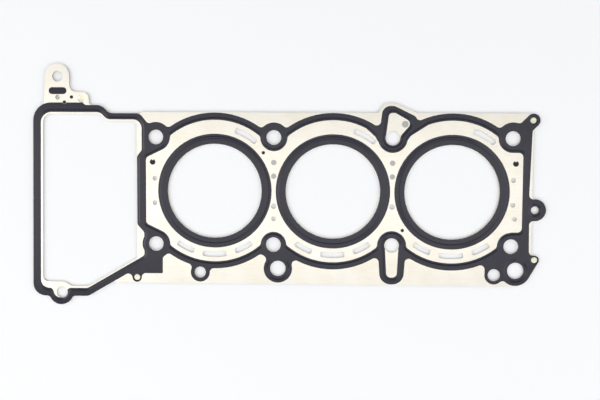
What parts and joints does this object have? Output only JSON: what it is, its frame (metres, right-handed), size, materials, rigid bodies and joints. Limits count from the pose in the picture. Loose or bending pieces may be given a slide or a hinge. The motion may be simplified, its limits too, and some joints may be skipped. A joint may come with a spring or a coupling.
{
  "type": "cylinder head gasket",
  "caption": "Multi-layer steel head gasket with round bore openings, bolt holes, coolant slots, a timing-case opening, a lifting tab and black elastomer seal prints.",
  "frame": {"origin": "on the middle bore's axis, half way through the thickness", "axes": "+X along the bank away from the timing-case opening, +Y towards the lifting tab, +Z out of the upper printed face"},
  "size_m": [0.4612, 0.2175, 0.002],
  "materials": {
    "bare_spring_steel": "bare rolled spring steel, pale and satin",
    "carrier_steel": "cold-rolled steel, dull",
    "stopper_steel": "stamped stainless steel",
    "black_elastomer": "screen-printed black elastomer, matt",
    "passivated_rivet_steel": "yellow-passivated steel"
  },
  "bodies": {
    "root": {"top_layer": "bare_spring_steel", "bottom_layer": "bare_spring_steel", "carrier_layer": "carrier_steel", "stopper_ring_1": "stopper_steel", "stopper_ring_2": "stopper_steel", "stopper_ring_3": "stopper_steel", "top_bore_print_1": "black_elastomer", "top_bore_print_2": "black_elastomer", "top_bore_print_3": "black_elastomer", "bottom_bore_print_1": "black_elastomer", "bottom_bore_print_2": "black_elastomer", "bottom_bore_print_3": "black_elastomer", "top_perimeter_print": "black_elastomer", "bottom_perimeter_print": "black_elastomer", "carrier_tab_print": "black_elastomer", "carrier_hole_prints": "black_elastomer", "rivet_1": "passivated_rivet_steel", "rivet_2": "passivated_rivet_steel", "rivet_3": "passivated_rivet_steel", "rivet_4": "passivated_rivet_steel"}
  },
  "joints": []
}
